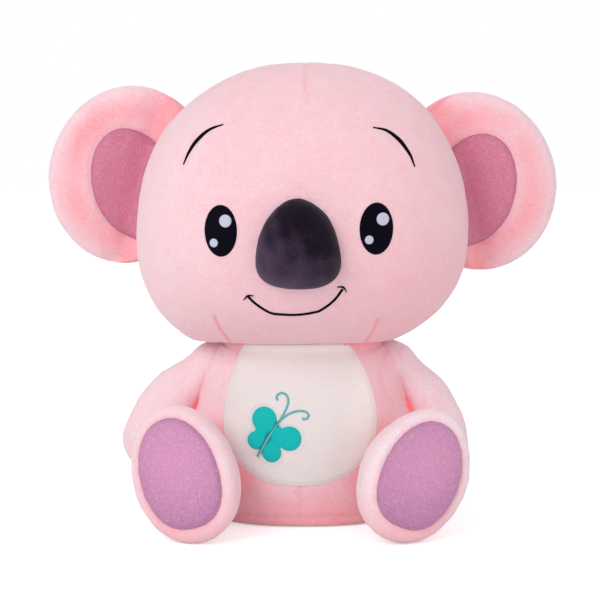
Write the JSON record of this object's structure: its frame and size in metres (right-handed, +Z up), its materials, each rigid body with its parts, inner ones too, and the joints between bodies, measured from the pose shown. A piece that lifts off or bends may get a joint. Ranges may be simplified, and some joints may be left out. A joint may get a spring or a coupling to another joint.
{
  "type": "plush koala toy",
  "caption": "Seated plush koala with a large turning head, round ears that fold, short arms that lift, padded feet and a butterfly sewn on its pale belly.",
  "frame": {"origin": "middle of the flat base panel, on the plane that the toy sits on", "axes": "+X points to the toy's own left, +Y to its back and +Z up; the toy faces -Y"},
  "size_m": [0.3407, 0.1927, 0.2995],
  "materials": {
    "pink_plush": "soft short-pile plush",
    "mauve_fabric": "short pile with fine glitter",
    "cream_plush": "soft short-pile plush",
    "nose_velvet": "velvet",
    "black_thread": "satin stitch embroidery",
    "white_thread": "satin stitch embroidery",
    "teal_satin": "satin stitch embroidery",
    "fibre_fill": "loose polyester fibre"
  },
  "bodies": {
    "torso": {"torso_front": "pink_plush", "torso_back_left": "pink_plush", "torso_back_right": "pink_plush", "belly_panel": "cream_plush", "base_panel": "pink_plush", "body_stuffing": "fibre_fill", "butterfly_wings": "teal_satin", "butterfly_body": "teal_satin", "butterfly_upper_antenna": "teal_satin", "butterfly_lower_antenna": "teal_satin"},
    "neck": {"neck_band": "pink_plush"},
    "head": {"face_panel": "pink_plush", "head_back_left": "pink_plush", "head_back_right": "pink_plush", "head_stuffing": "fibre_fill", "nose_cover": "nose_velvet", "nose_stuffing": "fibre_fill", "left_eye": "black_thread", "left_eye_upper_glint": "white_thread", "left_eye_lower_glint": "white_thread", "right_eye": "black_thread", "right_eye_upper_glint": "white_thread", "right_eye_lower_glint": "white_thread", "left_brow": "black_thread", "right_brow": "black_thread", "mouth": "black_thread"},
    "left_ear": {"left_ear_cover": "pink_plush", "left_ear_panel": "mauve_fabric", "left_ear_stuffing": "fibre_fill"},
    "right_ear": {"right_ear_cover": "pink_plush", "right_ear_panel": "mauve_fabric", "right_ear_stuffing": "fibre_fill"},
    "left_arm": {"left_arm_cover": "pink_plush", "left_arm_stuffing": "fibre_fill"},
    "right_arm": {"right_arm_cover": "pink_plush", "right_arm_stuffing": "fibre_fill"},
    "left_leg": {"left_leg_cover": "pink_plush", "left_foot_pad": "mauve_fabric", "left_leg_stuffing": "fibre_fill"},
    "right_leg": {"right_leg_cover": "pink_plush", "right_foot_pad": "mauve_fabric", "right_leg_stuffing": "fibre_fill"}
  },
  "joints": [
    {"name": "neck_nod", "type": "hinge", "parent": "torso", "child": "neck", "pos_m": [0, 0, 0.0875], "axis": [1, 0, 0], "range_deg": [-7, 7], "stiffness_Nm_per_rad": 2},
    {"name": "neck_turn", "type": "hinge", "parent": "neck", "child": "head", "pos_m": [0, 0, 0.0875], "axis": [0, 0, 1], "range_deg": [-25, 25], "stiffness_Nm_per_rad": 1},
    {"name": "left_ear_fold", "type": "hinge", "parent": "head", "child": "left_ear", "pos_m": [0.09783, 0.00893, 0.2151], "axis": [-0.2671, 0.0084, 0.9636], "range_deg": [-10, 10], "stiffness_Nm_per_rad": 0.1},
    {"name": "right_ear_fold", "type": "hinge", "parent": "head", "child": "right_ear", "pos_m": [-0.09708, 0.01506, 0.2183], "axis": [0.2671, -0.0084, 0.9636], "range_deg": [-10, 10], "stiffness_Nm_per_rad": 0.1},
    {"name": "left_shoulder_lift", "type": "hinge", "parent": "torso", "child": "left_arm", "pos_m": [0.0605, 0.002, 0.094], "axis": [0, -1, 0], "range_deg": [0, 45], "stiffness_Nm_per_rad": 0.2},
    {"name": "right_shoulder_lift", "type": "hinge", "parent": "torso", "child": "right_arm", "pos_m": [-0.0605, 0.002, 0.094], "axis": [0, 1, 0], "range_deg": [0, 45], "stiffness_Nm_per_rad": 0.2},
    {"name": "left_hip_raise", "type": "hinge", "parent": "torso", "child": "left_leg", "pos_m": [0.067, -0.047, 0.031], "axis": [-1, 0, 0], "range_deg": [0, 10], "stiffness_Nm_per_rad": 0.5},
    {"name": "right_hip_raise", "type": "hinge", "parent": "torso", "child": "right_leg", "pos_m": [-0.067, -0.047, 0.031], "axis": [-1, 0, 0], "range_deg": [0, 10], "stiffness_Nm_per_rad": 0.5}
  ]
}
